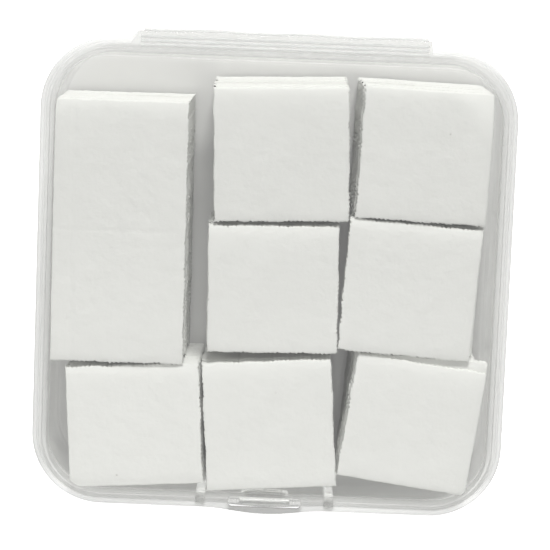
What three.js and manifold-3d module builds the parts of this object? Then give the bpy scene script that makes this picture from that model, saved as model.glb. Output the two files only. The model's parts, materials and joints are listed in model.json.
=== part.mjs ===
// A clear snap-lid case, closed, holding eight stacks of square non-woven nail wipes.
// Millimetres, +Z up. The origin is the centre of the case's underside.
// The living hinge runs along the back edge (+Y) and the latch is at the middle of the front edge (-Y).
import * as THREE from "three";
import { mergeVertices } from "three/addons/utils/BufferGeometryUtils.js";
import Module from "manifold-3d";

const wasm = await Module();
wasm.setup();

// Case
const CASE_WIDTH = 100; // outside of the rim flange, along X
const CASE_LENGTH = 99.4; // outside of the rim flange, along Y
const CORNER_RADIUS = 15; // rim flange, in plan
const CASE_HEIGHT = 29;
const PARTING_Z = 21.5; // where the two rims meet
const PARTING_GAP = 0.15; // each rim stands this far off the parting plane
const WALL = 1;
const FLANGE_WIDTH = 2.2; // rim flange, outward of the wall
const FLANGE_THICKNESS = 1.05;
const BASE_DRAFT = 0.35; // how far the base wall leans in by the floor
const BASE_EDGE_RADIUS = 1.6;
const LID_EDGE_RADIUS = 2.5;
const LID_DRAFT = 0.2;
const RIM_UPSTAND_WIDTH = 1;
const RIM_UPSTAND_HEIGHT = 0.8;
const RIM_CLEARANCE = 0.25; // between the upstand and the lid's flange
const CORNER_STEPS = 9; // facets in each quarter turn of the plan
const FILLET_STEPS = 4;

// Living hinge
const HINGE_LENGTH = 63;
const HINGE_LEAF_REACH = 1.6; // leaf, outward of the flange
const HINGE_LEAF_SLANT = 1.7; // how far the left end of each leaf is cut back
const HINGE_AXIS_Y = CASE_LENGTH / 2 + HINGE_LEAF_REACH + 0.2;
const FILM_THICKNESS = 0.3;
const FILM_RADIUS = 0.55; // outside of the folded film

// Latch
const SLOT_WIDTH = 15.5;
const SLOT_NEAR = 47.4; // slot edges, distance in front of the centre
const SLOT_FAR = 49.8;
const BULGE_REACH = 50.9; // the front flange swells out to here around the slot
const BULGE_WIDTH = 25;
const TONGUE_WIDTH = 10.6;
const TONGUE_TIP_WIDTH = 9.7;
const TONGUE_THICKNESS = 0.95;
const TONGUE_NEAR = 47.75; // its inner face, distance in front of the centre
const TONGUE_TIP_Z = 11.5;
const TONGUE_ROOT_Z = 22.2; // height of the flex line
const WINDOW_LOW_Z = 14;
const WINDOW_HIGH_Z = 20.3;
const WINDOW_WIDTH = 9.2;
const CATCH_WIDTH = 7.5;
const CATCH_HEIGHT = 2.6;
const CATCH_REACH = 48.4; // its tip, distance in front of the centre
const CATCH_PLAY = 0.2; // between the catch and the tongue's lower bar
const RIB_SPACING = 27.6;
const RIB_WIDTH = 2.1;
const RIB_LOW_Z = 6.5;

// Wipes
const FLOOR_GAP = 0.2;
const BUNDLES = 6; // a stack's wipes, in bundles of about ten
const BUNDLE_GAP = 0.06;
const WIPE_CORNER_RADIUS = 0.6;
const SWAY = 0.1; // how far the bundles of a stack stray from an even slope

// One entry for each stack: the place and size of its top bundle, its turn in degrees, the height of
// its top, and how far its lowest bundle has slipped and twisted from its highest.
const STACKS = [
  { name: "left_long", at: [-32.4, 9.2], size: [27.7, 54.8], turn: 0.4, top: 26.8, slip: [0.3, 0.5] },
  { name: "back_middle", at: [0.7, 26.8], size: [28.2, 27.8], turn: 2.1, top: 27.1, slip: [0, 1] },
  { name: "back_right", at: [30.7, 27.6], size: [27.2, 27.4], turn: -1.9, top: 26.7, slip: [-0.9, 0.6] },
  { name: "centre", at: [0, -1.5], size: [27.4, 26.9], turn: 1.2, top: 27, slip: [0.2, 0.2] },
  {
    name: "middle_right", at: [28.9, -0.7], size: [27.6, 27.6], turn: -3.2, top: 26.7,
    slip: [1.5, 0.1], twist: 3.6,
  },
  { name: "front_left", at: [-27.8, -31.6], size: [27.4, 25], turn: 4, top: 26.8, slip: [0.6, 0.5] },
  { name: "front_middle", at: [0.2, -30.4], size: [27, 27], turn: 4.3, top: 27, slip: [0.1, 0.1] },
  {
    name: "front_right", at: [30.2, -29.2], size: [27.1, 26.4], turn: -7.4, top: 26.6,
    slip: [-0.4, 0.3], twist: 2.5,
  },
];

// Materials

const clearPlastic = new THREE.MeshStandardMaterial({
  color: 0xe9ecea, roughness: 0.12, metalness: 0, transparent: true, opacity: 0.3,
});
const frostedPlastic = new THREE.MeshStandardMaterial({
  color: 0xe6e9e6, roughness: 0.45, metalness: 0, transparent: true, opacity: 0.55,
});
const nonWoven = new THREE.MeshStandardMaterial({ color: 0xf1f2ee, roughness: 0.95, metalness: 0 });

// Solids

function solid(geometry) {
  const bare = geometry.clone();
  bare.deleteAttribute("normal");
  bare.deleteAttribute("uv");
  const merged = mergeVertices(bare, 1e-4);
  return new wasm.Manifold(new wasm.Mesh({
    numProp: 3,
    vertProperties: new Float32Array(merged.attributes.position.array),
    triVerts: new Uint32Array(merged.index.array),
  }));
}

function geometryOf(body) {
  const mesh = body.getMesh();
  const geometry = new THREE.BufferGeometry();
  geometry.setAttribute("position", new THREE.BufferAttribute(mesh.vertProperties, 3));
  geometry.setIndex(new THREE.BufferAttribute(mesh.triVerts, 1));
  geometry.computeVertexNormals();
  return geometry;
}

function namedMesh(name, geometry, material) {
  const mesh = new THREE.Mesh(geometry, material);
  mesh.name = name;
  return mesh;
}

// The case's plan outline, moved in from the rim by inset, at height z.
function caseRing([inset, z]) {
  const radius = CORNER_RADIUS - inset;
  const points = [];
  for (let corner = 0; corner < 4; corner++) {
    const towards = (corner + 0.5) * Math.PI / 2;
    const x = Math.sign(Math.cos(towards)) * (CASE_WIDTH / 2 - CORNER_RADIUS);
    const y = Math.sign(Math.sin(towards)) * (CASE_LENGTH / 2 - CORNER_RADIUS);
    for (let step = 0; step <= CORNER_STEPS; step++) {
      const angle = (corner + step / CORNER_STEPS) * Math.PI / 2;
      points.push(x + radius * Math.cos(angle), y + radius * Math.sin(angle), z);
    }
  }
  return points;
}

// A closed body through the rings of a profile that starts and ends at the middle of the case.
function shell(profile) {
  const count = 4 * (CORNER_STEPS + 1);
  const index = [];
  for (let ring = 0; ring + 1 < profile.length; ring++)
    for (let i = 0; i < count; i++) {
      const a = ring * count + i;
      const b = ring * count + (i + 1) % count;
      index.push(a, b, b + count, a, b + count, a + count);
    }
  const last = (profile.length - 1) * count;
  for (let i = 1; i + 1 < count; i++) {
    index.push(0, i + 1, i);
    index.push(last, last + i, last + i + 1);
  }
  const geometry = new THREE.BufferGeometry();
  geometry.setAttribute("position", new THREE.Float32BufferAttribute(profile.flatMap(caseRing), 3));
  geometry.setIndex(index);
  return geometry;
}

// Profile points round a quarter circle, from the angle start to the angle end in degrees.
function fillet(inset, z, radius, start, end) {
  const points = [];
  for (let step = 0; step <= FILLET_STEPS; step++) {
    const angle = THREE.MathUtils.degToRad(start + (end - start) * step / FILLET_STEPS);
    points.push([inset - radius * Math.cos(angle), z + radius * Math.sin(angle)]);
  }
  return points;
}

function box(x, y, z) {
  return solid(new THREE.BoxGeometry(x[1] - x[0], y[1] - y[0], z[1] - z[0])
    .translate((x[0] + x[1]) / 2, (y[0] + y[1]) / 2, (z[0] + z[1]) / 2));
}

// A flat shape in plan, raised from the height low to the height high.
function slab(shape, low, high, curveSegments = 12) {
  return new THREE.ExtrudeGeometry(shape, { depth: high - low, bevelEnabled: false, curveSegments })
    .translate(0, 0, low);
}

// A shape drawn in Y and Z, made as wide as width and centred on x.
function crosswise(shape, x, width) {
  return new THREE.ExtrudeGeometry(shape, { depth: width, bevelEnabled: false, curveSegments: 12 })
    .rotateX(Math.PI / 2)
    .rotateZ(Math.PI / 2)
    .translate(x - width / 2, 0, 0);
}

function polygon(points) {
  return new THREE.Shape(points.map(([x, y]) => new THREE.Vector2(x, y)));
}

function roundedRectangle(width, length, radius) {
  const x = width / 2 - radius;
  const y = length / 2 - radius;
  const shape = new THREE.Shape();
  shape.absarc(x, y, radius, 0, Math.PI / 2);
  shape.absarc(-x, y, radius, Math.PI / 2, Math.PI);
  shape.absarc(-x, -y, radius, Math.PI, Math.PI * 1.5);
  shape.absarc(x, -y, radius, Math.PI * 1.5, Math.PI * 2);
  return shape;
}

// Hinge

// A hinge leaf's plan: it starts inside the flange and its left end is cut on a slant.
function hingeLeaf(low, high) {
  const half = HINGE_LENGTH / 2;
  const root = CASE_LENGTH / 2 - RIM_UPSTAND_WIDTH - RIM_CLEARANCE - 0.5;
  const tip = CASE_LENGTH / 2 + HINGE_LEAF_REACH;
  const flange = CASE_LENGTH / 2;
  const outline = polygon([
    [-half, root], [half, root], [half, tip], [-half + HINGE_LEAF_SLANT, tip], [-half, flange],
  ]);
  return solid(slab(outline, low, high));
}

// The folded film round the outside of the two leaves, open towards the case.
function hingeFilm() {
  const outer = FILM_RADIUS;
  const inner = FILM_RADIUS - FILM_THICKNESS;
  const root = HINGE_AXIS_Y - 0.1;
  const shape = new THREE.Shape();
  shape.absarc(root, PARTING_Z, outer, -Math.PI / 2, Math.PI / 2);
  shape.absarc(root, PARTING_Z, inner, Math.PI / 2, -Math.PI / 2, true);
  return crosswise(shape, HINGE_LEAF_SLANT / 2, HINGE_LENGTH - HINGE_LEAF_SLANT - 1);
}

// Base

function baseProfile() {
  const flangeTop = PARTING_Z - PARTING_GAP;
  const flangeLow = flangeTop - FLANGE_THICKNESS;
  const rimTop = PARTING_Z + RIM_UPSTAND_HEIGHT;
  const floorInset = FLANGE_WIDTH + BASE_DRAFT;
  const insideRadius = BASE_EDGE_RADIUS - WALL;
  return [
    ...fillet(floorInset + BASE_EDGE_RADIUS, BASE_EDGE_RADIUS, BASE_EDGE_RADIUS, -90, 0),
    [FLANGE_WIDTH, flangeLow],
    [0, flangeLow],
    [0, rimTop],
    [RIM_UPSTAND_WIDTH, rimTop],
    [RIM_UPSTAND_WIDTH, flangeTop],
    [FLANGE_WIDTH + WALL, flangeTop],
    ...fillet(floorInset + BASE_EDGE_RADIUS, BASE_EDGE_RADIUS, insideRadius, 0, -90),
  ];
}

// The front flange's swelling: a segment of a wide arc, as thick as the flange and its upstand.
function frontBulge() {
  const rise = BULGE_REACH - CASE_LENGTH / 2;
  const radius = (BULGE_WIDTH ** 2 / 4 + rise ** 2) / (2 * rise);
  const spread = Math.asin(BULGE_WIDTH / 2 / radius);
  const shape = new THREE.Shape();
  shape.absarc(0, radius - BULGE_REACH, radius, -Math.PI / 2 - spread, -Math.PI / 2 + spread);
  shape.lineTo(BULGE_WIDTH / 2, -SLOT_NEAR);
  shape.lineTo(-BULGE_WIDTH / 2, -SLOT_NEAR);
  return solid(slab(shape, PARTING_Z - PARTING_GAP - FLANGE_THICKNESS, PARTING_Z - PARTING_GAP, 16));
}

function latchSlot() {
  const depth = SLOT_FAR - SLOT_NEAR;
  const shape = roundedRectangle(SLOT_WIDTH, depth, depth * 0.4);
  const low = PARTING_Z - PARTING_GAP - FLANGE_THICKNESS - 1;
  return solid(slab(shape, low, PARTING_Z + 2).translate(0, -(SLOT_NEAR + SLOT_FAR) / 2, 0));
}

// The wedge that the tongue's window hooks over: flat below, sloping above.
function latchCatch() {
  const low = WINDOW_LOW_Z + CATCH_PLAY;
  const root = CASE_LENGTH / 2 - FLANGE_WIDTH - WALL / 2 - BASE_DRAFT / 2;
  const outline = polygon([
    [-root, low], [-root, low + CATCH_HEIGHT], [-CATCH_REACH + 0.8, low + CATCH_HEIGHT],
    [-CATCH_REACH, low + 0.5], [-CATCH_REACH, low],
  ]);
  return solid(crosswise(outline, 0, CATCH_WIDTH));
}

function frontRib(side) {
  const x = side * RIB_SPACING / 2;
  const root = CASE_LENGTH / 2 - FLANGE_WIDTH - WALL / 2 - BASE_DRAFT / 2;
  const top = PARTING_Z - PARTING_GAP - FLANGE_THICKNESS / 2;
  const outline = polygon([
    [-root, RIB_LOW_Z], [-root, top], [-CASE_LENGTH / 2, top], [-CASE_LENGTH / 2, RIB_LOW_Z + 3],
  ]);
  return solid(crosswise(outline, x, RIB_WIDTH));
}

// Room in the rim upstand for the lid's hinge leaf and for its tongue.
function rimOpening(side, width) {
  const low = PARTING_Z - PARTING_GAP;
  const edges = [CASE_LENGTH / 2 - RIM_UPSTAND_WIDTH - 0.1, CASE_LENGTH / 2 + 0.1].map((y) => side * y);
  return box([-width / 2, width / 2], edges.sort((a, b) => a - b), [low, PARTING_Z + 2]);
}

function baseTray() {
  const leafTop = PARTING_Z - PARTING_GAP;
  return solid(shell(baseProfile()))
    .subtract(rimOpening(1, HINGE_LENGTH + 1))
    .subtract(rimOpening(-1, BULGE_WIDTH))
    .add(hingeLeaf(leafTop - FLANGE_THICKNESS, leafTop))
    .add(frontBulge())
    .subtract(latchSlot())
    .add(latchCatch())
    .add(frontRib(-1))
    .add(frontRib(1));
}

// Lid

function lidProfile() {
  const flangeLow = PARTING_Z + PARTING_GAP;
  const flangeTop = flangeLow + FLANGE_THICKNESS;
  const edge = RIM_UPSTAND_WIDTH + RIM_CLEARANCE;
  const turn = CASE_HEIGHT - LID_EDGE_RADIUS;
  const centre = FLANGE_WIDTH + LID_DRAFT + LID_EDGE_RADIUS;
  return [
    ...fillet(centre, turn, LID_EDGE_RADIUS - WALL, 90, 0),
    [FLANGE_WIDTH + WALL, flangeLow],
    [edge, flangeLow],
    [edge, flangeTop],
    [FLANGE_WIDTH, flangeTop],
    ...fillet(centre, turn, LID_EDGE_RADIUS, 0, 90),
  ];
}

// The notch in the lid's flange that the tongue's root sits in.
function tongueNotch() {
  const width = TONGUE_WIDTH + 0.6;
  const y = [-CASE_LENGTH / 2, -TONGUE_NEAR + 0.2];
  return box([-width / 2, width / 2], y, [PARTING_Z, PARTING_Z + PARTING_GAP + FLANGE_THICKNESS + 0.3]);
}

function lidCover() {
  const leafLow = PARTING_Z + PARTING_GAP;
  return solid(shell(lidProfile()))
    .add(hingeLeaf(leafLow, leafLow + FLANGE_THICKNESS))
    .subtract(tongueNotch());
}

// The tongue, flat in X and Z, with rounded tip corners, a round flex root and a window.
function latchTongue() {
  const tip = TONGUE_TIP_WIDTH / 2;
  const root = TONGUE_WIDTH / 2;
  const corner = 1.6;
  const outline = new THREE.Shape();
  outline.moveTo(-root, TONGUE_ROOT_Z);
  outline.lineTo(-tip, TONGUE_TIP_Z + corner);
  outline.quadraticCurveTo(-tip, TONGUE_TIP_Z, -tip + corner, TONGUE_TIP_Z);
  outline.lineTo(tip - corner, TONGUE_TIP_Z);
  outline.quadraticCurveTo(tip, TONGUE_TIP_Z, tip, TONGUE_TIP_Z + corner);
  outline.lineTo(root, TONGUE_ROOT_Z);
  const window = roundedRectangle(WINDOW_WIDTH, WINDOW_HIGH_Z - WINDOW_LOW_Z, 0.8).getPoints(4);
  const lift = (WINDOW_HIGH_Z + WINDOW_LOW_Z) / 2;
  outline.holes.push(new THREE.Path(window.map((p) => new THREE.Vector2(p.x, p.y + lift))));
  const blade = new THREE.ExtrudeGeometry(outline, {
    depth: TONGUE_THICKNESS, bevelEnabled: false, curveSegments: 5,
  }).rotateX(Math.PI / 2).translate(0, -TONGUE_NEAR, 0);
  const roll = new THREE.CylinderGeometry(
    TONGUE_THICKNESS / 2, TONGUE_THICKNESS / 2, TONGUE_WIDTH, 20,
  ).rotateZ(Math.PI / 2).translate(0, -TONGUE_NEAR - TONGUE_THICKNESS / 2, TONGUE_ROOT_Z);
  return solid(blade).add(solid(roll));
}

// Wipes

// One bundle of a stack: the top one is number BUNDLES, and the slip and twist grow towards the floor.
function bundle(stack, number) {
  const bottom = WALL + FLOOR_GAP;
  const pitch = (stack.top - bottom) / BUNDLES;
  const depth = (BUNDLES - number) / (BUNDLES - 1);
  const [x, y] = stack.at;
  const sway = SWAY * Math.sin(2.3 * number + x);
  const shape = roundedRectangle(...stack.size, WIPE_CORNER_RADIUS);
  const geometry = slab(shape, 0, pitch - BUNDLE_GAP, 3);
  const mesh = namedMesh(stack.name + "_bundle_" + number, geometry, nonWoven);
  mesh.position.set(
    x + stack.slip[0] * depth + sway,
    y + stack.slip[1] * depth - sway * 0.5,
    bottom + (number - 1) * pitch,
  );
  mesh.rotation.z = THREE.MathUtils.degToRad(stack.turn + (stack.twist ?? 0) * depth + 1.5 * sway);
  return mesh;
}

function wipeStack(stack) {
  const group = new THREE.Group();
  for (let number = 1; number <= BUNDLES; number++) group.add(bundle(stack, number));
  return group;
}

const part = new THREE.Group();
part.add(namedMesh("base_tray", geometryOf(baseTray()), clearPlastic));
part.add(namedMesh("lid_cover", geometryOf(lidCover()), clearPlastic));
part.add(namedMesh("hinge_film", hingeFilm(), clearPlastic));
part.add(namedMesh("latch_tongue", geometryOf(latchTongue()), frostedPlastic));
STACKS.forEach((stack) => part.add(wipeStack(stack)));

export default part;
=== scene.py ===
"""A clear snap-lid case, closed, full of stacks of white non-woven nail wipes.

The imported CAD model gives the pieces' places and outer sizes. This script makes the fine surfaces: the
moulded shells of the case, its living hinge and latch, and the stacks of perforated wipes.
Sizes in the script are millimetres, and meshes are scaled to metres as they are made.
"""
import json
import math
import zlib

import bpy
import bmesh
import numpy as np
from mathutils import Matrix, Vector


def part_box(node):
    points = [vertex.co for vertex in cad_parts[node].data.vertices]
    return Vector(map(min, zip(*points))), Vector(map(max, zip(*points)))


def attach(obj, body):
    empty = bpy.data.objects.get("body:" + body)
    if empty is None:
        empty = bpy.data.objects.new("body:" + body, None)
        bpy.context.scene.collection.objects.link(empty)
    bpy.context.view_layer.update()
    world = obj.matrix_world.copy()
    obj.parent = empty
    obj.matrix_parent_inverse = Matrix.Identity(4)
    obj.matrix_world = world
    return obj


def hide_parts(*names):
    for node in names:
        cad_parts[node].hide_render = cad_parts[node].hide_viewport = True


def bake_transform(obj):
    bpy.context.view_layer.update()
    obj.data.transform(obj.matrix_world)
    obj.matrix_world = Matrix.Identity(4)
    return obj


MM = 0.001
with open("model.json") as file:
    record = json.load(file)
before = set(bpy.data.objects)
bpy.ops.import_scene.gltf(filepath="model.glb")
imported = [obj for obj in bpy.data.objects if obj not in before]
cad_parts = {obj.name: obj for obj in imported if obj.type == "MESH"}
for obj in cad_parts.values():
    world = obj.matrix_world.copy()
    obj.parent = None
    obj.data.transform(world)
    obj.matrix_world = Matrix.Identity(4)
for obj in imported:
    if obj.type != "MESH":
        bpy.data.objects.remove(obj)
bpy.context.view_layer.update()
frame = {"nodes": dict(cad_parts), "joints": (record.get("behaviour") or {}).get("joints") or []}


def millimetres(cad_node):
    """A CAD node's lowest and highest corners at rest, in millimetres."""
    low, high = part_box(cad_node)
    return np.array(low) / MM, np.array(high) / MM


# Case sizes, from the frame
tray_low, tray_high = millimetres("base_tray")
lid_low, lid_high = millimetres("lid_cover")
tongue_low, tongue_high = millimetres("latch_tongue")
HINGE = [j for j in frame["joints"] if j["name"] == "lid_hinge"][0]
PARTING_Z = HINGE["pos_m"][2] / MM
HALF_WIDTH = tray_high[0]
HEIGHT = lid_high[2]
LEAF_TIP_Y = tray_high[1]
BULGE_Y = tray_low[1]
LID_EDGE_INSET = HALF_WIDTH - lid_high[0]
HALF_LENGTH = LID_EDGE_INSET - lid_low[1]

# Case sizes and shapes that the frame's boxes don't show
CORNER_RADIUS = 15.0
CORNER_STEPS = 22  # how finely the rim is drawn round a corner and along a side
SIDE_PLACES = 41
WALL = 1.0
FLANGE_WIDTH = 2.2
FLANGE_THICKNESS = 1.05
PARTING_GAP = 0.1
FLAT_INSET = 13.0  # how far in from the rim the flat middles of the floor and the top start
BASE_DRAFT = 0.35
LID_DRAFT = 0.2
BASE_EDGE_RADIUS = 1.6
LID_EDGE_RADIUS = 2.4
UPSTAND_WIDTH = 0.95
UPSTAND_HEIGHT = 0.75
HINGE_HALF_LENGTH = 31.5
LEAF_SLANT = 1.7
LEAF_STEP = 0.4
LEAF_WAVER = 0.1  # how uneven the leaves' edge is, and how fast it wavers, in radians per millimetre
LEAF_WAVER_TURN = 0.31
LEAF_RIDGES = ((50.0, 0.3), (49.1, 0.3), (48.3, 0.22))  # each ridge's place in Y and its radius
BULGE_HALF_WIDTH = 12.5
LID_BULGE = 0.65
SLOT_WIDTH = 15.5
SLOT_NEAR_Y = -47.35
SLOT_FAR_Y = -49.6
FILM_THICKNESS = 0.3
FILM_RADIUS = 0.62
RIB_SPACING = 27.6
RIB_WIDTH = 2.1
RIB_LOW_Z = 6.5
WINDOW_HALF_WIDTH = 4.65
WINDOW_LOW_Z = 14.0
WINDOW_HIGH_Z = 20.6
CATCH_WIDTH = 7.5

SHARP_ANGLE = 35  # edges of rounded, cut and outlined pieces that turn by more degrees stay sharp

# Wipe sizes
SHEETS_IN_BUNDLE = 10
SAMPLE_PITCH = 0.45  # between neighbouring points on a wipe's edge, half a perforation tooth
TOOTH_DEPTH = 0.28
EDGE_WANDER = 0.12
SHEET_GROOVE = 0.09
SHEET_SLIP = 0.08
WALL_SIDE_REACH = 33.0  # a stack's side that is further out than this faces the case's wall
WALL_SIDE_SHARE = 0.35  # how ragged such a side is, against 1 for the others
BUNDLE_GROOVE = 0.12  # how far a bundle's bottom edge stands back from the bundle below
FACE_RIM = 2.0  # how far in from its edge a bundle's flat faces start
SHOULDER_WIDTH = 1.0  # over which a stack's top rounds off towards its edges
SHOULDER_DROP = 0.3
BACK_SHOULDER_WIDTH = 2.3
BACK_SHOULDER_DROP = 0.6
# How far the tops of some stacks spread past their bundles' blocks: left, right, front and back
SPREAD = {
    "front_left": ((-0.6, 0.2), (-0.6, 0.15)),
    "front_right": ((0, 0.5), (-0.15, 0.1)),
    "left_long": ((-0.2, 0), (-0.1, 0.15)),
    "middle_right": ((-0.1, 0.15), (-0.15, 0.2)),
    "front_middle": ((-0.1, 0.2), (-0.2, 0)),
}
# Stacks whose upper sheets, but for the top two, fan out backwards: the slope of their back edge
FANNED_SHEETS = {"front_right": 0.08}
# Faint pressed lines across a stack's top: the axis they cross, their place along it and their depth
PRESSED_LINES = {"left_long": [(0, -9.9, 0.1), (1, 0.4, 0.07)]}
# Corners that curl down: the corner's sides in the stack, how far it drops and how far in the curl starts
CURLED_CORNERS = {
    "back_right": [((1, 1), 3.2, 0.75)],
    "left_long": [((-1, 1), 0.9, 0.3)],
}

# Camera and light, in metres, watts and degrees
CAMERA_AIM = (0.0004, 0.0009, PARTING_Z * MM)
CAMERA_PLACE = (0.0004, 0.0689, PARTING_Z * MM + 0.485)
CAMERA_ROLL = 2.25
CAMERA_LENS = 151.7
HORIZON_STRENGTH = 0.22
ZENITH_STRENGTH = 0.47
BACK_BRIGHTNESS = 1.55  # the room behind the case, against 1 on average
LEFT_BRIGHTNESS = 1.2  # the room to its left
ROOM_REFLECTION = 0.9  # how bright the pale room looks in the plastic
FLOOR_COLOUR = (0.93, 0.93, 0.925, 1)
FLOOR_GLOW = 0.85
FLOOR_GLOW_ONE_WALL = 0.15  # seen through a single wall, as at the latch's slot
FLOOR_GLOW_INSIDE = 0.07  # seen through the case's walls and bottom
FLOOR_GLOW_BESIDE = 0.2  # seen through the rim
FLOOR_GLOW_AHEAD = 0.75  # seen through the rim's front
FLOOR_GLOW_BEHIND = 0.5  # seen through the hinge leaves
# Over which places in Y the glow changes behind, in front and at the slot, and over which distances
# past the rim's edge, in millimetres
GLOW_BEHIND_Y = (42, 48)
GLOW_AHEAD_Y = (-52, -46)
GLOW_SLOT_Y = (-49, -47)
GLOW_RIM_STARTS = (-0.6, 0.4)
GLOW_RIM_ENDS = (3.8, 4.8)
RIM_SEEN_Y = -2.2  # where the camera sees the rim's centre on the table, in millimetres
MILK_COLOUR = (0.965, 0.97, 0.96, 1)
CLEAR_COLOUR = (0.985, 0.985, 0.98, 1)
LIGHT_THROUGH_FACE = (0.975, 0.975, 0.97, 1)
LIGHT_THROUGH_EDGE = (0.94, 0.94, 0.94, 1)
FACE_SHINE = 0.035
EDGE_SHINE = 0.2
RIM_HAZE_FADE = (1.0, 1.8)  # heights off the parting plane, in millimetres, over which it clears
# Each plastic's roughness, its haze face on, at a slant and at the rim, the share of light that its milk
# passes on, and its grain
PLASTICS = {
    "clear_base": (0.06, 0.03, 0.22, 0.3, 0.15, 0.04),
    "clear_lid": (0.06, 0.03, 0.12, 0.16, 0.15, 0.04),
    "frosted_plastic": (0.3, 0.8, 0.92, 0.8, 0.8, 0.5),
    "polished_ridges": (0.12, 0.5, 0.5, 0.5, 0.1, 0.0),
}
CLOTH_DARK = (0.89, 0.895, 0.867, 1)
CLOTH_LIGHT = (0.93, 0.935, 0.907, 1)
SPECK_COLOUR = (0.35, 0.33, 0.3, 1)
# Each soft light's place and size in metres, and its power in watts
LIGHTS = {
    "back_key": ((0.35, 4.6, 3.2), (1.5, 1.5), 215.0),
    "back_reflection": ((0, 4.6, 3.2), (8, 0.5), 75.0),
    "front_softbox": ((-0.02, -0.17, 0.13), (0.24, 0.1), 0.12),
    "front_strip": ((0, -0.15, 0.04), (0.14, 0.03), 0.15),
}

REFLECTED_ONLY = "back_reflection"  # the light that shows in reflections and lights nothing
LIGHT_AIM = (0, 0, 0.02)
# What two of the lights are limited to: everything but the table, and the frosted pieces
LIT_BY = {"front_softbox": "unlit_table", "front_strip": "strip_lit"}


# Meshes

def mesh_object(name, vertices, faces, smooth_angle=40):
    """A mesh from points in millimetres, with outward faces and edges sharper than the angle kept sharp."""
    mesh = bpy.data.meshes.new(name)
    points = np.asarray(vertices, float) * MM
    mesh.from_pydata([tuple(p) for p in points], [], faces)
    clean(mesh, smooth_angle)
    thing = bpy.data.objects.new(name, mesh)
    bpy.context.scene.collection.objects.link(thing)
    return thing


def clean(mesh, smooth_angle):
    work = bmesh.new()
    work.from_mesh(mesh)
    bmesh.ops.remove_doubles(work, verts=work.verts, dist=1e-7)
    bmesh.ops.recalc_face_normals(work, faces=work.faces)
    work.to_mesh(mesh)
    work.free()
    mesh.shade_smooth()
    mesh.set_sharp_from_angle(angle=math.radians(smooth_angle))


def ring_faces(rings, count):
    """Quads between successive closed rings of count points."""
    faces = []
    for ring in range(rings - 1):
        for i in range(count):
            a = ring * count + i
            b = ring * count + (i + 1) % count
            faces.append((a, b, b + count, a + count))
    return faces


def soften(points, radii, steps=4):
    """A polyline in the plane with each corner turned into an arc of its radius."""
    result = [np.array(points[0], float)]
    for before, at, after, radius in zip(points, points[1:], points[2:], radii[1:]):
        before, at, after = (np.array(p, float) for p in (before, at, after))
        if radius == 0:
            result.append(at)
            continue
        back = (before - at) / np.linalg.norm(before - at)
        ahead = (after - at) / np.linalg.norm(after - at)
        half_angle = math.acos(np.clip(back @ ahead, -1, 1)) / 2
        reach = radius / math.tan(half_angle)
        centre = at + (back + ahead) / np.linalg.norm(back + ahead) * radius / math.sin(half_angle)
        first = at + back * reach - centre
        last = at + ahead * reach - centre
        turn = math.acos(np.clip(first @ last / radius**2, -1, 1))
        for step in range(steps + 1):
            share = step / steps
            blend = (math.sin((1 - share) * turn) * first + math.sin(share * turn) * last)
            result.append(centre + blend / math.sin(turn))
    result.append(np.array(points[-1], float))
    return result


def smoothstep(value):
    value = np.clip(value, 0, 1)
    return value * value * (3 - 2 * value)


def modifier(thing, kind, **settings):
    made = thing.modifiers.new(kind.title(), kind)
    for key, value in settings.items():
        setattr(made, key, value)
    return made


def apply_modifiers(thing):
    graph = bpy.context.evaluated_depsgraph_get()
    mesh = bpy.data.meshes.new_from_object(thing.evaluated_get(graph), depsgraph=graph)
    thing.modifiers.clear()
    thing.data = mesh
    clean(mesh, SHARP_ANGLE)


def rounded_box(name, low, high, radius):
    """A box between two corners in millimetres, with its edges rounded."""
    low, high = np.array(low, float), np.array(high, float)
    corners = [[(low, high)[i][0], (low, high)[j][1], (low, high)[k][2]]
               for i in (0, 1) for j in (0, 1) for k in (0, 1)]
    faces = [(0, 1, 3, 2), (4, 6, 7, 5), (0, 4, 5, 1), (2, 3, 7, 6), (0, 2, 6, 4), (1, 5, 7, 3)]
    thing = mesh_object(name, corners, faces)
    modifier(thing, "BEVEL", width=radius * MM, segments=3, limit_method="NONE")
    apply_modifiers(thing)
    return thing


def cut(thing, tool):
    modifier(thing, "BOOLEAN", operation="DIFFERENCE", solver="EXACT", object=tool)
    apply_modifiers(thing)
    bpy.data.objects.remove(tool)


# The case's plan: a spine of points, each with the direction that faces out of the case

def case_spine():
    """Points CORNER_RADIUS inside the rim and the outward direction at each, anticlockwise from +X."""
    reach = np.array((HALF_WIDTH, HALF_LENGTH)) - CORNER_RADIUS
    slant_places = HINGE_HALF_LENGTH - np.linspace(-0.1, LEAF_SLANT, 10)
    step_places = -HINGE_HALF_LENGTH + np.linspace(-0.1, LEAF_STEP, 6)
    hinge_side = np.concatenate([slant_places, step_places])
    spine, facing = [], []
    for corner in range(4):
        middle = (corner + 0.5) * math.pi / 2
        centre = reach * np.sign((math.cos(middle), math.sin(middle)))
        for step in range(1, CORNER_STEPS):
            angle = (corner + step / CORNER_STEPS) * math.pi / 2
            spine.append(centre)
            facing.append((math.cos(angle), math.sin(angle)))
        out = (corner + 1) * math.pi / 2
        normal = np.round((math.cos(out), math.sin(out)), 9)
        along = np.array((-normal[1], normal[0]))
        half_side = np.abs(along) @ reach
        places = np.linspace(-half_side, half_side, SIDE_PLACES)
        if corner == 0:
            places = np.unique(np.concatenate([places, hinge_side]))
        for place in places:
            spine.append(normal * reach + along * place)
            facing.append(normal)
    return np.array(spine), np.array(facing)


SPINE, FACING = case_spine()
ON_BACK = FACING[:, 1] > 0.999
ON_FRONT = FACING[:, 1] < -0.999


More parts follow.
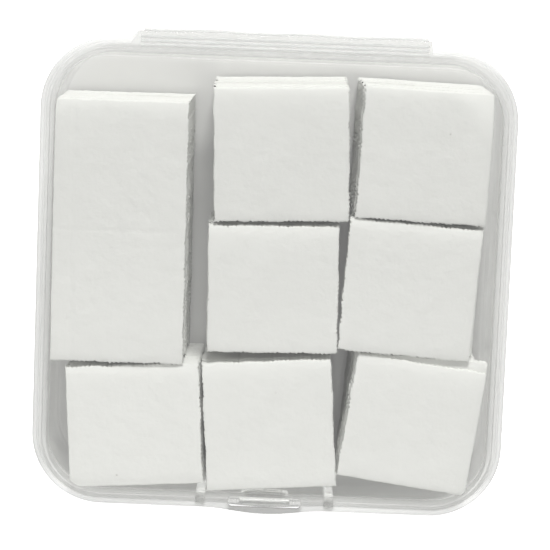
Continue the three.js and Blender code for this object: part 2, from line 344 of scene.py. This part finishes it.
def leaf_share():
    """1 along the hinge leaf and 0 elsewhere, with a slanting left end and a stepped right one."""
    x = SPINE[:, 0]
    left = np.clip((x + HINGE_HALF_LENGTH) / LEAF_SLANT, 0, 1)
    right = np.clip((HINGE_HALF_LENGTH - x) / LEAF_STEP, 0, 1)
    return np.where(ON_BACK, np.minimum(left, right), 0)


def leaf_waver(x):
    """How far the hinge leaves' edge strays from straight, at places along it."""
    return LEAF_WAVER * np.sin(x * LEAF_WAVER_TURN)


def bulge_share():
    """1 at the middle of the front, falling smoothly to 0 on either side of the latch."""
    spread = np.clip(SPINE[:, 0] / (BULGE_HALF_WIDTH * 1.2), -1, 1)
    return np.where(ON_FRONT, np.cos(spread * math.pi / 2) ** 2, 0)


def upstand_share():
    """Almost 0 where the rim's upstand is left out, along the hinge and at the latch, and 1 elsewhere."""
    x = np.abs(SPINE[:, 0])
    back = np.where(ON_BACK, smoothstep((x - HINGE_HALF_LENGTH - 0.2) / 0.6), 1)
    front = np.where(ON_FRONT, smoothstep((x - BULGE_HALF_WIDTH + 1) / 1.5), 1)
    return np.maximum(back * front, 0.04)


def case_shell(name, profile, reach, lift):
    """A shell through a profile of (inset, height) points.

    reach(inset) is how far each spine point's ring moves outward there, and lift(inset, z) is its height."""
    rings = []
    for inset, z in profile:
        out = CORNER_RADIUS - inset + reach(inset)
        ring = SPINE + FACING * np.broadcast_to(out, len(SPINE))[:, None]
        rings.append(np.column_stack([ring, np.broadcast_to(lift(inset, z), len(SPINE))]))
    count = len(SPINE)
    faces = ring_faces(len(rings), count)
    faces.append(tuple(reversed(range(count))))
    faces.append(tuple((len(rings) - 1) * count + i for i in range(count)))
    return mesh_object(name, np.vstack(rings), faces)


def tray_profile():
    top = PARTING_Z - PARTING_GAP
    low = top - FLANGE_THICKNESS
    rim = PARTING_Z + UPSTAND_HEIGHT
    foot = FLANGE_WIDTH + BASE_DRAFT
    points = [
        (FLAT_INSET, 0), (foot, 0), (FLANGE_WIDTH, low), (0, low), (0, rim), (UPSTAND_WIDTH, rim),
        (UPSTAND_WIDTH, top), (FLANGE_WIDTH + WALL, top), (foot + WALL, WALL), (FLAT_INSET, WALL),
    ]
    radii = [0, BASE_EDGE_RADIUS, 0.4, 0.3, 0.3, 0.3, 0.12, 0.3, BASE_EDGE_RADIUS - WALL * 0.6, 0]
    return soften(points, radii)


def make_tray():
    top = PARTING_Z - PARTING_GAP
    leaf = leaf_share() * (LEAF_TIP_Y - HALF_LENGTH)
    bulge = bulge_share() * (-BULGE_Y - HALF_LENGTH)
    upstand = upstand_share()
    waver = leaf_waver(SPINE[:, 0]) * leaf_share()
    rim_inset = UPSTAND_WIDTH + 0.2

    def reach(inset):
        return (leaf + bulge + waver) * (inset < rim_inset)

    def lift(inset, z):
        if z > top and inset < rim_inset:
            return top + (z - top) * upstand
        return z

    tray = case_shell("tray_shell", tray_profile(), reach, lift)
    slot = rounded_box("slot_tool", (-SLOT_WIDTH / 2, SLOT_FAR_Y, PARTING_Z - 4),
                       (SLOT_WIDTH / 2, SLOT_NEAR_Y, PARTING_Z + 3), 0.75)
    cut(tray, slot)
    return tray


def lid_profile():
    low = PARTING_Z + PARTING_GAP
    top = low + FLANGE_THICKNESS
    crown = FLANGE_WIDTH + LID_DRAFT
    points = [
        (FLAT_INSET, HEIGHT - WALL), (crown + WALL, HEIGHT - WALL), (FLANGE_WIDTH + WALL, low),
        (LID_EDGE_INSET, low), (LID_EDGE_INSET, top), (FLANGE_WIDTH, top), (crown, HEIGHT),
        (FLAT_INSET, HEIGHT),
    ]
    radii = [0, LID_EDGE_RADIUS - WALL, 0.3, 0.3, 0.35, 0.4, LID_EDGE_RADIUS, 0]
    return soften(points, radii, 6)


def make_lid():
    leaf = leaf_share() * (LEAF_TIP_Y - HALF_LENGTH + LID_EDGE_INSET)
    bulge = bulge_share() * LID_BULGE
    waver = leaf_waver(SPINE[:, 0]) * leaf_share()

    def reach(inset):
        return (leaf + bulge + waver) * (inset < LID_EDGE_INSET + 0.4)

    return case_shell("lid_shell", lid_profile(), reach, lambda inset, z: z)


# Hinge and latch

def make_film():
    """The thin fold that joins the two hinge leaves, bulging out behind them."""
    middle = LEAF_TIP_Y - 0.02
    half = HINGE_HALF_LENGTH - 1
    section = []
    turns = np.radians(np.linspace(-90, 90, 13))
    for radius, angles in ((FILM_RADIUS, turns), (FILM_RADIUS - FILM_THICKNESS, -turns)):
        for angle in angles:
            section.append((middle + radius * math.cos(angle), PARTING_Z + radius * math.sin(angle)))
    stations = np.linspace(-half + LEAF_SLANT, half, 64)
    rings = []
    for x in stations:
        rings += [(x, y + leaf_waver(x), z) for y, z in section]
    faces = ring_faces(len(stations), len(section))
    faces.append(tuple(reversed(range(len(section)))))
    faces.append(tuple((len(stations) - 1) * len(section) + i for i in range(len(section))))
    return mesh_object("hinge_fold", rings, faces)


def make_leaf_ridges():
    """Fine raised lines along the lid's hinge leaf."""
    top = PARTING_Z + PARTING_GAP + FLANGE_THICKNESS
    ridges = []
    for number, (y, radius) in enumerate(LEAF_RIDGES):
        low = (-HINGE_HALF_LENGTH + LEAF_SLANT + 0.4, y - radius, top - radius)
        high = (HINGE_HALF_LENGTH - 0.8, y + radius, top + radius * 0.5)
        ridges.append(rounded_box(f"leaf_ridge_{number + 1}", low, high, radius * 0.7))
    return ridges


def outline_solid(name, outline, holes, thickness, bevel):
    """A plate in X and Z, centred on Y 0, from closed outlines of points in millimetres."""
    curve = bpy.data.curves.new(name, "CURVE")
    curve.dimensions = "2D"
    curve.fill_mode = "BOTH"
    curve.extrude = (thickness / 2 - bevel) * MM
    curve.bevel_depth = bevel * MM
    curve.bevel_resolution = 2
    for loop in [outline] + holes:
        spline = curve.splines.new("POLY")
        spline.points.add(len(loop) - 1)
        for point, (x, z) in zip(spline.points, loop):
            point.co = (x * MM, z * MM, 0, 1)
        spline.use_cyclic_u = True
    drawn = bpy.data.objects.new(name + "_curve", curve)
    bpy.context.scene.collection.objects.link(drawn)
    graph = bpy.context.evaluated_depsgraph_get()
    mesh = bpy.data.meshes.new_from_object(drawn.evaluated_get(graph), depsgraph=graph)
    bpy.data.objects.remove(drawn)
    for vertex in mesh.vertices:
        x, z, y = vertex.co
        vertex.co = (x, -y, z)
    clean(mesh, SHARP_ANGLE)
    thing = bpy.data.objects.new(name, mesh)
    bpy.context.scene.collection.objects.link(thing)
    return thing


def rounded_loop(low, high, radius, steps=5):
    """A rounded rectangle's outline between two corners, anticlockwise."""
    points = []
    for corner in range(4):
        middle = (corner + 0.5) * math.pi / 2
        x = high[0] - radius if math.cos(middle) > 0 else low[0] + radius
        z = high[1] - radius if math.sin(middle) > 0 else low[1] + radius
        for step in range(steps + 1):
            angle = (corner + step / steps) * math.pi / 2
            points.append((x + radius * math.cos(angle), z + radius * math.sin(angle)))
    return points


def make_tongue():
    half = tongue_high[0]
    low, high = tongue_low[2], tongue_high[2]
    outline = []
    for x, z in rounded_loop((-half, low), (half, high), 1.5):
        taper = 0.45 * (high - z) / (high - low)
        outline.append((x - math.copysign(taper, x), z))
    window = rounded_loop((-WINDOW_HALF_WIDTH, WINDOW_LOW_Z), (WINDOW_HALF_WIDTH, WINDOW_HIGH_Z), 0.9)
    thickness = tongue_high[1] - tongue_low[1]
    tongue = outline_solid("latch_blade", outline, [window], thickness, 0.2)
    tongue.data.transform(Matrix.Translation((0, (tongue_low[1] + tongue_high[1]) / 2 * MM, 0)))
    return tongue


def make_front_ribs():
    ribs = []
    for side, name in ((-1, "left"), (1, "right")):
        x = side * RIB_SPACING / 2
        low = (x - RIB_WIDTH / 2, -HALF_LENGTH - 0.05, RIB_LOW_Z)
        high = (x + RIB_WIDTH / 2, -HALF_LENGTH + FLANGE_WIDTH + 0.1, PARTING_Z - PARTING_GAP + 0.02)
        ribs.append(rounded_box("front_rib_" + name, low, high, 0.3))
    return ribs


def make_catch():
    low = (-CATCH_WIDTH / 2, tongue_low[1] + 0.25, WINDOW_LOW_Z + 0.2)
    high = (CATCH_WIDTH / 2, -HALF_LENGTH + FLANGE_WIDTH + 0.35, WINDOW_LOW_Z + 2.8)
    return rounded_box("tray_catch", low, high, 0.25)


# Wipes

def fitted_rectangle(cad_node):
    """The centre, half sizes, turn and heights of the upright block that a bundle's CAD solid fills."""
    points = np.array([v.co for v in frame["nodes"][cad_node].data.vertices]) / MM

    def extents(turn):
        c, s = math.cos(turn), math.sin(turn)
        across = points[:, 0] * c + points[:, 1] * s
        along = points[:, 1] * c - points[:, 0] * s
        return across.min(), across.max(), along.min(), along.max()

    def area(turn):
        x0, x1, y0, y1 = extents(turn)
        return (x1 - x0) * (y1 - y0)

    turn = min(np.radians(np.arange(-12, 12.01, 0.05)), key=area)
    x0, x1, y0, y1 = extents(turn)
    middle = np.array(((x0 + x1) / 2, (y0 + y1) / 2))
    return {
        "turn": turn, "centre": turned(middle, turn), "half": np.array(((x1 - x0) / 2, (y1 - y0) / 2)),
        "low": points[:, 2].min(), "high": points[:, 2].max(),
    }


def turned(points, turn):
    c, s = math.cos(turn), math.sin(turn)
    points = np.asarray(points, float)
    return np.stack([points[..., 0] * c - points[..., 1] * s, points[..., 0] * s + points[..., 1] * c], -1)


def wipe_grid(half):
    """Points on a rectangle at SAMPLE_PITCH, as rows, and the indices of its border, anticlockwise."""
    count = np.maximum(np.round(2 * half / SAMPLE_PITCH).astype(int), 4)
    columns, rows = count + 1
    x = np.linspace(-half[0], half[0], columns)
    y = np.linspace(-half[1], half[1], rows)
    grid = np.stack(np.meshgrid(x, y), -1).reshape(-1, 2)
    border = list(range(columns))
    border += [columns * r + columns - 1 for r in range(1, rows)]
    border += [columns * (rows - 1) + c for c in range(columns - 2, -1, -1)]
    border += [columns * r for r in range(rows - 2, 0, -1)]
    return grid, border, columns, rows


def border_directions(points, half):
    """The outward direction at each border point of a rectangle."""
    out = np.zeros_like(points)
    for axis in (0, 1):
        on = np.abs(np.abs(points[:, axis]) - half[axis]) < 1e-6
        out[on, axis] = np.sign(points[on, axis])
    return out


def outer_edges(block):
    """How ragged each border direction's edge is: full, or slight where it faces the case's wall."""
    ragged = {}
    for axis in (0, 1):
        for sign in (-1, 1):
            out = np.zeros(2)
            out[axis] = sign
            edge = turned(out, block["turn"]) @ (block["centre"] + turned(out * block["half"], block["turn"]))
            ragged[axis, sign] = WALL_SIDE_SHARE if edge > WALL_SIDE_REACH else 1.0
    return ragged


def stack_shape(top, seed, curls, lines):
    """How far a stack's surface sinks at points of its top: shoulders, slack, curls and pressed lines."""
    slack = np.random.default_rng(seed)
    tilt = slack.uniform(-0.12, 0.12, 2)
    phase = slack.uniform(0, 6.28, 4)

    def sink(points):
        local = turned(points - top["centre"], -top["turn"])
        share = local / top["half"]
        inside = top["half"] - np.abs(local)
        drop = SHOULDER_DROP * np.exp(-np.maximum(inside, 0) / SHOULDER_WIDTH).sum(-1)
        from_back = np.maximum(top["half"][1] - local[..., 1], 0)
        drop = drop + BACK_SHOULDER_DROP * np.exp(-from_back / BACK_SHOULDER_WIDTH)
        for axis, place, depth in lines:
            drop = drop + depth * np.exp(-((local[..., axis] - place) / 0.4) ** 2)
        waves = np.sin(local[..., 0] * 0.23 + phase[0]) + np.sin(local[..., 1] * 0.19 + phase[1])
        waves += 0.6 * np.sin(local[..., 0] * 0.11 - local[..., 1] * 0.16 + phase[2])
        drop = drop + 0.07 * (waves + 2.6) + (tilt * (share + 1)).sum(-1) * 0.5
        for corner, depth, spread in curls:
            near = np.clip(((share * corner).sum(-1) - 2 + spread) / spread, 0, 1.3)
            drop = drop + depth * near ** 2
        return drop

    return sink


def spread_out(flat, block, spread):
    """Points of a bundle's plan, with its sides moved outwards by spread."""
    for axis, (low, high) in enumerate(spread):
        share = (flat[:, axis] / block["half"][axis] + 1) / 2
        flat[:, axis] += low + (high - low) * share
    return flat


def pressed_in(plan):
    """Points of the plan, with any that would reach the case's wall pressed back inside it."""
    radius = CORNER_RADIUS - FLANGE_WIDTH - WALL - 0.4
    core = np.array((HALF_WIDTH, HALF_LENGTH)) - CORNER_RADIUS
    past = np.maximum(np.abs(plan) - core, 0)
    distance = np.maximum(np.linalg.norm(past, axis=1), 1e-9)
    back = np.maximum(distance - radius, 0) / distance
    return plan - np.sign(plan) * past * back[:, None]


def perforation(edge, out, block, rng):
    """How far each border point is torn back, as teeth left by a perforated line."""
    ragged = outer_edges(block)
    amount = np.zeros(len(edge))
    for (axis, sign), share in ragged.items():
        on = out[:, axis] == sign
        amount[on] = np.maximum(amount[on], share)
    teeth = np.arange(len(edge)) % 2
    along = np.arange(len(edge)) * SAMPLE_PITCH
    waves = np.sin(along * 0.7 + rng.uniform(0, 6)) * np.sin(along * 0.29 + rng.uniform(0, 6))
    wander = EDGE_WANDER * (1 + waves)
    rough = teeth * rng.uniform(0.3, 1, len(edge)) + rng.uniform(0, 0.3, len(edge))
    return amount * (TOOTH_DEPTH * (rough - 0.4) + wander - EDGE_WANDER)


def sheet_rings(block, edge, out, torn, rng, fan):
    """The rings up a bundle's side: each wipe's edge stands out, with a groove between it and the next.

    All but the top two wipes are skewed by fan, so that their back edges slope."""
    levels = np.linspace(block["low"], block["high"], SHEETS_IN_BUNDLE + 1)
    rings = [(edge - out * (torn[:, None] + inset), levels[0]) for inset in (FACE_RIM, BUNDLE_GROOVE)]
    for sheet, (low, high) in enumerate(zip(levels, levels[1:])):
        slip = rng.uniform(-0.5, 0.5, 2) * SHEET_SLIP
        inset = torn + rng.uniform(-0.04, 0.06, len(edge)) + rng.uniform(0, 0.05)
        ring = edge - out * inset[:, None] + slip
        if sheet < SHEETS_IN_BUNDLE - 2:
            ring[:, 1] += fan * (ring[:, 0] + block["half"][0])
        rings.append((ring, low + 0.2 * (high - low)))
        rings.append((ring, low + 0.8 * (high - low)))
        rings.append((ring - out * SHEET_GROOVE, high))
    return rings


def wipe_bundle(cad_node, stack, block, top, bottom_z, sink, rng, torn):
    """One bundle of a stack. The top bundle's upper face is a fine grid, and the others' are plain."""
    grid, border, columns, rows = wipe_grid(block["half"])
    edge = grid[border]
    out = border_directions(edge, block["half"])
    is_top = block is top
    rings = sheet_rings(block, edge, out, torn, rng, FANNED_SHEETS.get(stack, 0) if is_top else 0)
    if not is_top:
        rings.append((edge - out * FACE_RIM, block["high"]))
    count = len(edge)
    flat = np.vstack([ring for ring, z in rings])
    heights = np.concatenate([np.full(count, z) for ring, z in rings])
    faces = ring_faces(len(rings), count)
    faces.append(tuple(reversed(range(count))))
    last = (len(rings) - 1) * count
    if is_top:
        index = {g: last + i for i, g in enumerate(border)}
        inner = [g for g in range(len(grid)) if g not in index]
        index.update({g: len(flat) + i for i, g in enumerate(inner)})
        flat = np.vstack([flat, grid[inner]])
        heights = np.concatenate([heights, np.full(len(inner), block["high"])])
        for r in range(rows - 1):
            for c in range(columns - 1):
                a = r * columns + c
                faces.append((index[a], index[a + 1], index[a + columns + 1], index[a + columns]))
    else:
        faces.append(tuple(last + i for i in range(count)))
    if block["high"] > (top["high"] + bottom_z) / 2:
        flat = spread_out(flat, block, SPREAD.get(stack, ((0, 0), (0, 0))))
    plan = pressed_in(turned(flat, block["turn"]) + block["centre"])
    share = np.clip((heights - bottom_z) / (top["high"] - bottom_z), 0, 1)
    heights = heights - sink(plan) * share ** 3
    return mesh_object(cad_node.replace("bundle", "wipes"), np.column_stack([plan, heights]), faces, 50)


def make_stack(stack, cad_nodes, material):
    """A stack of bundles, lowest first, that all sag together."""
    blocks = [fitted_rectangle(cad_node) for cad_node in cad_nodes]
    top = blocks[-1]
    seed = zlib.crc32(stack.encode())
    sink = stack_shape(top, seed, CURLED_CORNERS.get(stack, []), PRESSED_LINES.get(stack, []))
    for cad_node, block in zip(cad_nodes, blocks):
        rng = np.random.default_rng(zlib.crc32(cad_node.encode()))
        grid, border = wipe_grid(block["half"])[:2]
        out = border_directions(grid[border], block["half"])
        torn = perforation(grid[border], out, block, np.random.default_rng(seed + 1))
        bundle = wipe_bundle(cad_node, stack, block, top, blocks[0]["low"], sink, rng, torn)
        finish_piece(bundle, material, cad_node, "base")


# Materials

def new_material(name):
    material = bpy.data.materials.new(name)
    material.use_nodes = True
    tree = material.node_tree
    tree.nodes.clear()
    return material, tree


def add_node(tree, kind, inputs=None, **settings):
    """A shader node, with its settings, and its inputs set to values or linked to sockets."""
    made = tree.nodes.new("ShaderNode" + kind)
    for key, value in settings.items():
        setattr(made, key, value)
    for key, value in (inputs or {}).items():
        if isinstance(value, bpy.types.NodeSocket):
            tree.links.new(value, made.inputs[key])
        else:
            made.inputs[key].default_value = value
    return made


def per_millimetre(tree):
    """Object coordinates in millimetres."""
    coordinates = add_node(tree, "TexCoord").outputs["Object"]
    return add_node(tree, "Mapping", {"Vector": coordinates, "Scale": (1000, 1000, 1000)}).outputs["Vector"]


def ramp(tree, value, low, high, first, last):
    """value between low and high, mapped on to first to last."""
    return add_node(tree, "MapRange", {
        "Value": value, "From Min": low, "From Max": high, "To Min": first, "To Max": last,
    }).outputs["Result"]


def noise(tree, place, scale, detail=2.0, stretch=None):
    if stretch:
        place = add_node(tree, "Mapping", {"Vector": place, "Scale": stretch}).outputs["Vector"]
    return add_node(tree, "TexNoise", {"Vector": place, "Scale": scale, "Detail": detail}).outputs["Fac"]


def sum_of(tree, first, second):
    return add_node(tree, "Math", {0: first, 1: second}, operation="ADD").outputs["Value"]


def product_of(tree, first, second):
    return add_node(tree, "Math", {0: first, 1: second}, operation="MULTIPLY").outputs["Value"]


def larger_of(tree, first, second):
    return add_node(tree, "Math", {0: first, 1: second}, operation="MAXIMUM").outputs["Value"]


def distance_from(tree, value, centre):
    away = add_node(tree, "Math", {0: value, 1: centre}, operation="SUBTRACT").outputs["Value"]
    return add_node(tree, "Math", {0: away}, operation="ABSOLUTE").outputs["Value"]


def mixed(tree, share, first, second):
    """A shader that is first, with share of second."""
    return add_node(tree, "MixShader", {0: share, 1: first, 2: second}).outputs["Shader"]


def see_through(tree, colour):
    return add_node(tree, "BsdfTransparent", {"Color": colour}).outputs["BSDF"]


def tinted(tree, fac, dark, light):
    return add_node(tree, "Mix", {0: fac, 6: dark, 7: light}, data_type="RGBA").outputs[2]


def non_woven():
    """White hydro-entangled fabric: crossing fibres, a faint cloudiness and a few grey specks."""
    material, tree = new_material("non_woven")
    place = per_millimetre(tree)
    cloud = noise(tree, place, 0.16, 3)
    fibres = noise(tree, place, 2.2, 4, (1, 4.5, 1))
    crossing = noise(tree, place, 2.0, 4, (4.5, 1, 1))
    fuzz = sum_of(tree, product_of(tree, fibres, 0.6), product_of(tree, crossing, 0.4))
    shade = sum_of(tree, product_of(tree, cloud, 0.7), product_of(tree, fuzz, 0.5))
    shade = ramp(tree, shade, 0.35, 0.85, 0, 1)
    cloth = tinted(tree, shade, CLOTH_DARK, CLOTH_LIGHT)
    cells = add_node(tree, "TexVoronoi", {"Vector": place, "Scale": 0.09, "Randomness": 1})
    speck = ramp(tree, cells.outputs["Distance"], 0.012, 0.022, 1, 0)
    colour = tinted(tree, product_of(tree, speck, 0.6), cloth, SPECK_COLOUR)
    bump = add_node(tree, "Bump", {"Strength": 0.5, "Distance": 0.00012, "Height": fuzz})
    ripple = add_node(tree, "Bump", {
        "Strength": 0.35, "Distance": 0.0006, "Height": noise(tree, place, 0.35, 2),
        "Normal": bump.outputs["Normal"],
    })
    surface = add_node(tree, "BsdfPrincipled", {
        "Base Color": colour, "Roughness": 0.95, "Normal": ripple.outputs["Normal"],
        "Sheen Weight": 0.15, "Sheen Roughness": 0.5, "Specular IOR Level": 0.2,
    })
    add_node(tree, "OutputMaterial", {"Surface": surface.outputs["BSDF"]})
    return material


def polypropylene(name, roughness, haze, edge_haze, rim_haze, through_share, grain):
    """Moulded plastic, too thin to bend what is behind it: it shines a little, and is a little milky.

    A slanting look goes through more of it, so the milkiness grows from haze to edge_haze. The rim's
    flanges are cloudier, up to rim_haze, and the milk passes on through_share of its light.
    Shadow rays and diffuse rays pass it almost unchanged, so that the inside is lit."""
    material, tree = new_material(name)
    place = per_millimetre(tree)
    texture = add_node(tree, "Bump", {
        "Strength": grain, "Distance": 0.00005, "Height": noise(tree, place, 5.0, 3),
    })
    normal = texture.outputs["Normal"]
    rough = ramp(tree, noise(tree, place, 0.4, 3), 0.3, 0.7, roughness * 0.9, roughness * 1.1)
    gloss = add_node(tree, "BsdfGlossy", {"Roughness": rough, "Normal": normal}).outputs["BSDF"]
    reflected = add_node(tree, "BsdfDiffuse", {"Color": MILK_COLOUR, "Normal": normal}).outputs["BSDF"]
    passed_on = add_node(tree, "BsdfTranslucent", {"Color": MILK_COLOUR, "Normal": normal}).outputs["BSDF"]
    milk = mixed(tree, through_share, reflected, passed_on)
    slant = add_node(tree, "LayerWeight", {"Blend": 0.5}).outputs["Facing"]
    height = add_node(tree, "SeparateXYZ", {"Vector": place}).outputs["Z"]
    rim = ramp(tree, distance_from(tree, height, PARTING_Z), *RIM_HAZE_FADE, rim_haze, 0)
    cloudy = larger_of(tree, ramp(tree, slant, 0.35, 0.95, haze, edge_haze), rim)
    body = mixed(tree, cloudy, see_through(tree, CLEAR_COLOUR), milk)
    surface = mixed(tree, ramp(tree, slant, 0.3, 0.95, FACE_SHINE, EDGE_SHINE), body, gloss)
    path = add_node(tree, "LightPath").outputs
    lights_way = larger_of(tree, path["Is Shadow Ray"], path["Is Diffuse Ray"])
    passing = tinted(tree, ramp(tree, slant, 0.4, 0.95, 0, 1), LIGHT_THROUGH_FACE, LIGHT_THROUGH_EDGE)
    surface = mixed(tree, lights_way, surface, see_through(tree, passing))
    add_node(tree, "OutputMaterial", {"Surface": surface})
    return material


def from_rim_core(tree, place):
    """How far a point of the table is from the core that the seen rim's corners are rounded about."""
    reach = 5  # how far outside the rim the distance is still told apart
    past = []
    for axis, half, centre in (("X", HALF_WIDTH, 0), ("Y", HALF_LENGTH, RIM_SEEN_Y)):
        away = distance_from(tree, place[axis], centre)
        past.append(ramp(tree, away, half - CORNER_RADIUS, half + reach, 0, CORNER_RADIUS + reach))
    past = add_node(tree, "CombineXYZ", {"X": past[0], "Y": past[1]}).outputs["Vector"]
    return add_node(tree, "VectorMath", {0: past}, operation="LENGTH").outputs["Value"]


def glow_through_plastic(tree, place, layers):
    """The table's glow where the case is in front of it: more at the rim than inside it or away from it."""
    behind = ramp(tree, place["Y"], *GLOW_BEHIND_Y, FLOOR_GLOW_BESIDE, FLOOR_GLOW_BEHIND)
    in_front = ramp(tree, place["Y"], *GLOW_AHEAD_Y, FLOOR_GLOW_AHEAD, FLOOR_GLOW_BESIDE)
    beside = larger_of(tree, behind, in_front)
    away = from_rim_core(tree, place)
    inner = [CORNER_RADIUS + past for past in GLOW_RIM_STARTS]
    outer = [CORNER_RADIUS + past for past in GLOW_RIM_ENDS]
    glow = ramp(tree, away, *inner, FLOOR_GLOW_INSIDE, beside)
    glow = ramp(tree, away, *outer, glow, FLOOR_GLOW_INSIDE)
    behind_slot = ramp(tree, place["Y"], *GLOW_SLOT_Y, 0, SLOT_WIDTH)
    from_slot = larger_of(tree, distance_from(tree, place["X"], 0), behind_slot)
    at_slot = ramp(tree, from_slot, SLOT_WIDTH / 2, SLOT_WIDTH / 2 + 1, FLOOR_GLOW_ONE_WALL, glow)
    return ramp(tree, layers, 2, 3, at_slot, glow)


def pale_floor():
    """A pale matt table, lifted towards white where the camera sees it past the case."""
    material, tree = new_material("pale_floor")
    path = add_node(tree, "LightPath").outputs
    layers = path["Transparent Depth"]
    place = add_node(tree, "SeparateXYZ", {"Vector": per_millimetre(tree)}).outputs
    glow = ramp(tree, layers, 0, 1, FLOOR_GLOW, glow_through_plastic(tree, place, layers))
    surface = add_node(tree, "BsdfPrincipled", {
        "Base Color": FLOOR_COLOUR, "Roughness": 0.9, "Emission Color": (1, 1, 1, 1),
        "Emission Strength": product_of(tree, path["Is Camera Ray"], glow),
    })
    add_node(tree, "OutputMaterial", {"Surface": surface.outputs["BSDF"]})
    return material


def finish_piece(piece, material, replaced, body=None):
    """Gives a piece its material, hides the CAD node that it stands for and, if it is rigid, hangs it from
    its body.
    """
    piece.data.materials.clear()
    piece.data.materials.append(material)
    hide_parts(replaced)
    if body:
        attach(piece, body)


# Stage, lights and camera

def make_table():
    """The table, and the collections that two of the lights are limited to."""
    reach = 1500
    corners = [(-reach, -reach, 0), (reach, -reach, 0), (reach, reach, 0), (-reach, reach, 0)]
    table = mesh_object("floor", corners, [(0, 1, 2, 3)])
    table.location.z = -0.0002
    table.data.materials.append(pale_floor())
    bpy.data.collections.new("strip_lit")
    unlit = bpy.data.collections.new("unlit_table")
    unlit.objects.link(table)
    unlit.collection_objects[0].light_linking.link_state = "EXCLUDE"


def make_room():
    """The room's soft light: stronger from above, behind and the left, and evenly pale in reflections."""
    world = bpy.data.worlds.new("studio")
    world.use_nodes = True
    tree = world.node_tree
    view = add_node(tree, "TexCoord").outputs["Generated"]
    direction = add_node(tree, "SeparateXYZ", {"Vector": view}).outputs
    lighting = ramp(tree, direction["Z"], 0, 1, HORIZON_STRENGTH, ZENITH_STRENGTH)
    from_behind = ramp(tree, direction["Y"], -1, 1, 2 - BACK_BRIGHTNESS, BACK_BRIGHTNESS)
    from_left = ramp(tree, direction["X"], -1, 1, LEFT_BRIGHTNESS, 2 - LEFT_BRIGHTNESS)
    lighting = product_of(tree, product_of(tree, lighting, from_behind), from_left)
    mirrored = add_node(tree, "LightPath").outputs["Is Glossy Ray"]
    sky = tree.nodes["Background"]
    sky.inputs["Color"].default_value = (1, 1, 1, 1)
    tree.links.new(ramp(tree, mirrored, 0, 1, lighting, ROOM_REFLECTION), sky.inputs["Strength"])
    bpy.context.scene.world = world


def area_light(name, place, size, power):
    """A soft rectangular light, with its place and size in metres."""
    light = bpy.data.lights.new(name, "AREA")
    light.shape = "RECTANGLE"
    light.size, light.size_y = size
    light.energy = power
    lamp = bpy.data.objects.new(name, light)
    lamp.location = place
    lamp.visible_glossy = name == REFLECTED_ONLY
    lamp.visible_diffuse = name != REFLECTED_ONLY
    lamp.visible_transmission = name != REFLECTED_ONLY
    lamp.rotation_euler = (Vector(LIGHT_AIM) - Vector(place)).to_track_quat("-Z", "Y").to_euler()
    bpy.context.scene.collection.objects.link(lamp)
    if name in LIT_BY:
        lamp.light_linking.receiver_collection = bpy.data.collections[LIT_BY[name]]


def make_camera():
    camera = bpy.data.cameras.new("camera")
    camera.lens = CAMERA_LENS
    camera.sensor_width = 36
    seat = bpy.data.objects.new("camera", camera)
    place = Vector(CAMERA_PLACE)
    back = (place - Vector(CAMERA_AIM)).normalized()
    roll = math.radians(CAMERA_ROLL)
    right = Vector((-math.sin(roll), math.cos(roll), 0)).cross(back).normalized()
    up = back.cross(right)
    seat.matrix_world = Matrix((
        (right.x, up.x, back.x, place.x),
        (right.y, up.y, back.y, place.y),
        (right.z, up.z, back.z, place.z),
        (0, 0, 0, 1),
    ))
    bpy.context.scene.collection.objects.link(seat)
    bpy.context.scene.camera = seat


# The scene

def make_case():
    clear_base, clear_lid, frosted, polished = [polypropylene(name, *look) for name, look in PLASTICS.items()]
    finish_piece(make_tray(), clear_base, "base_tray", "base")
    ribs = make_front_ribs()
    for rib in ribs:
        finish_piece(rib, frosted, "base_tray", "base")
    finish_piece(make_catch(), clear_base, "base_tray", "base")
    finish_piece(make_lid(), clear_lid, "lid_cover", "lid")
    for ridge in make_leaf_ridges():
        finish_piece(ridge, polished, "lid_cover", "lid")
    film = make_film()
    finish_piece(film, clear_base, "hinge_film")
    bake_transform(film)
    tongue = make_tongue()
    finish_piece(tongue, frosted, "latch_tongue", "latch")
    for piece in [tongue, *ribs]:
        bpy.data.collections["strip_lit"].objects.link(piece)


def make_wipes():
    material = non_woven()
    stacks = {}
    for name in sorted(frame["nodes"]):
        if "_bundle_" in name:
            stacks.setdefault(name.split("_bundle_")[0], []).append(name)
    for stack, cad_nodes in stacks.items():
        make_stack(stack, cad_nodes, material)


make_table()
make_room()
make_case()
make_wipes()
for light, (place, size, power) in LIGHTS.items():
    area_light(light, place, size, power)
make_camera()
bpy.context.scene.view_settings.view_transform = "Standard"
